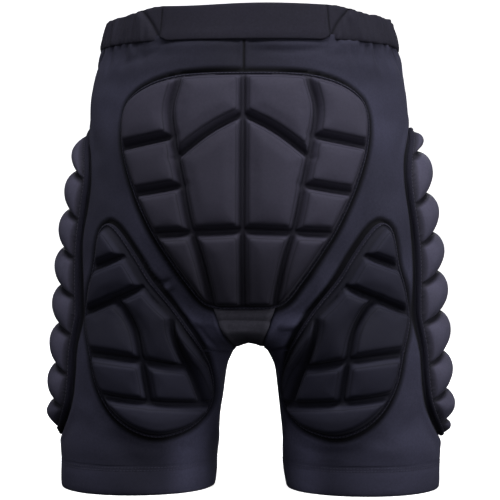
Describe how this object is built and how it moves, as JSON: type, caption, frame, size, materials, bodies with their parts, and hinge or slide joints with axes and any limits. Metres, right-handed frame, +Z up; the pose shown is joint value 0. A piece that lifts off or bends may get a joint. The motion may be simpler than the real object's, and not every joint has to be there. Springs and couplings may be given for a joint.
{
  "type": "padded impact shorts",
  "caption": "Close-fitting padded impact shorts with moulded seat, thigh and hip pads and a waistband gathered on elastic at the sides.",
  "frame": {"origin": "on the floor under the middle of the shorts' bounding box, with the leg hems standing on the floor", "axes": "+Z up from the leg hems to the waistband, +Y the way the wearer faces, so the seat pad faces -Y; +X to the wearer's right"},
  "size_m": [0.4014, 0.2453, 0.46],
  "materials": {
    "shell_knit": "matt stretch knit",
    "gusset_knit": "matt stretch knit",
    "hem_knit": "matt stretch knit",
    "waistband_cloth": "plain woven",
    "elastic": "covered elastic",
    "pad_backing": "lining mesh",
    "pad_foam": "closed-cell foam",
    "pad_cover": "smooth laminated cloth",
    "pad_binding": "edge tape"
  },
  "bodies": {
    "root": {"back_panel_left": "shell_knit", "front_panel_left": "shell_knit", "back_panel_right": "shell_knit", "front_panel_right": "shell_knit", "crotch_gusset": "gusset_knit", "leg_hem_left": "hem_knit", "leg_hem_right": "hem_knit", "waistband_back": "waistband_cloth", "waistband_front": "waistband_cloth", "waistband_left": "waistband_cloth", "waistband_right": "waistband_cloth", "waist_elastic_left": "elastic", "waist_elastic_right": "elastic", "seat_pad_backing": "pad_backing", "seat_pad_foam": "pad_foam", "seat_pad_cover": "pad_cover", "seat_pad_binding": "pad_binding", "thigh_pad_left_backing": "pad_backing", "thigh_pad_left_foam": "pad_foam", "thigh_pad_left_cover": "pad_cover", "thigh_pad_left_binding": "pad_binding", "thigh_pad_right_backing": "pad_backing", "thigh_pad_right_foam": "pad_foam", "thigh_pad_right_cover": "pad_cover", "thigh_pad_right_binding": "pad_binding", "hip_pad_left_backing": "pad_backing", "hip_pad_left_foam": "pad_foam", "hip_pad_left_cover": "pad_cover", "hip_pad_left_binding": "pad_binding", "hip_pad_right_backing": "pad_backing", "hip_pad_right_foam": "pad_foam", "hip_pad_right_cover": "pad_cover", "hip_pad_right_binding": "pad_binding"}
  },
  "joints": []
}
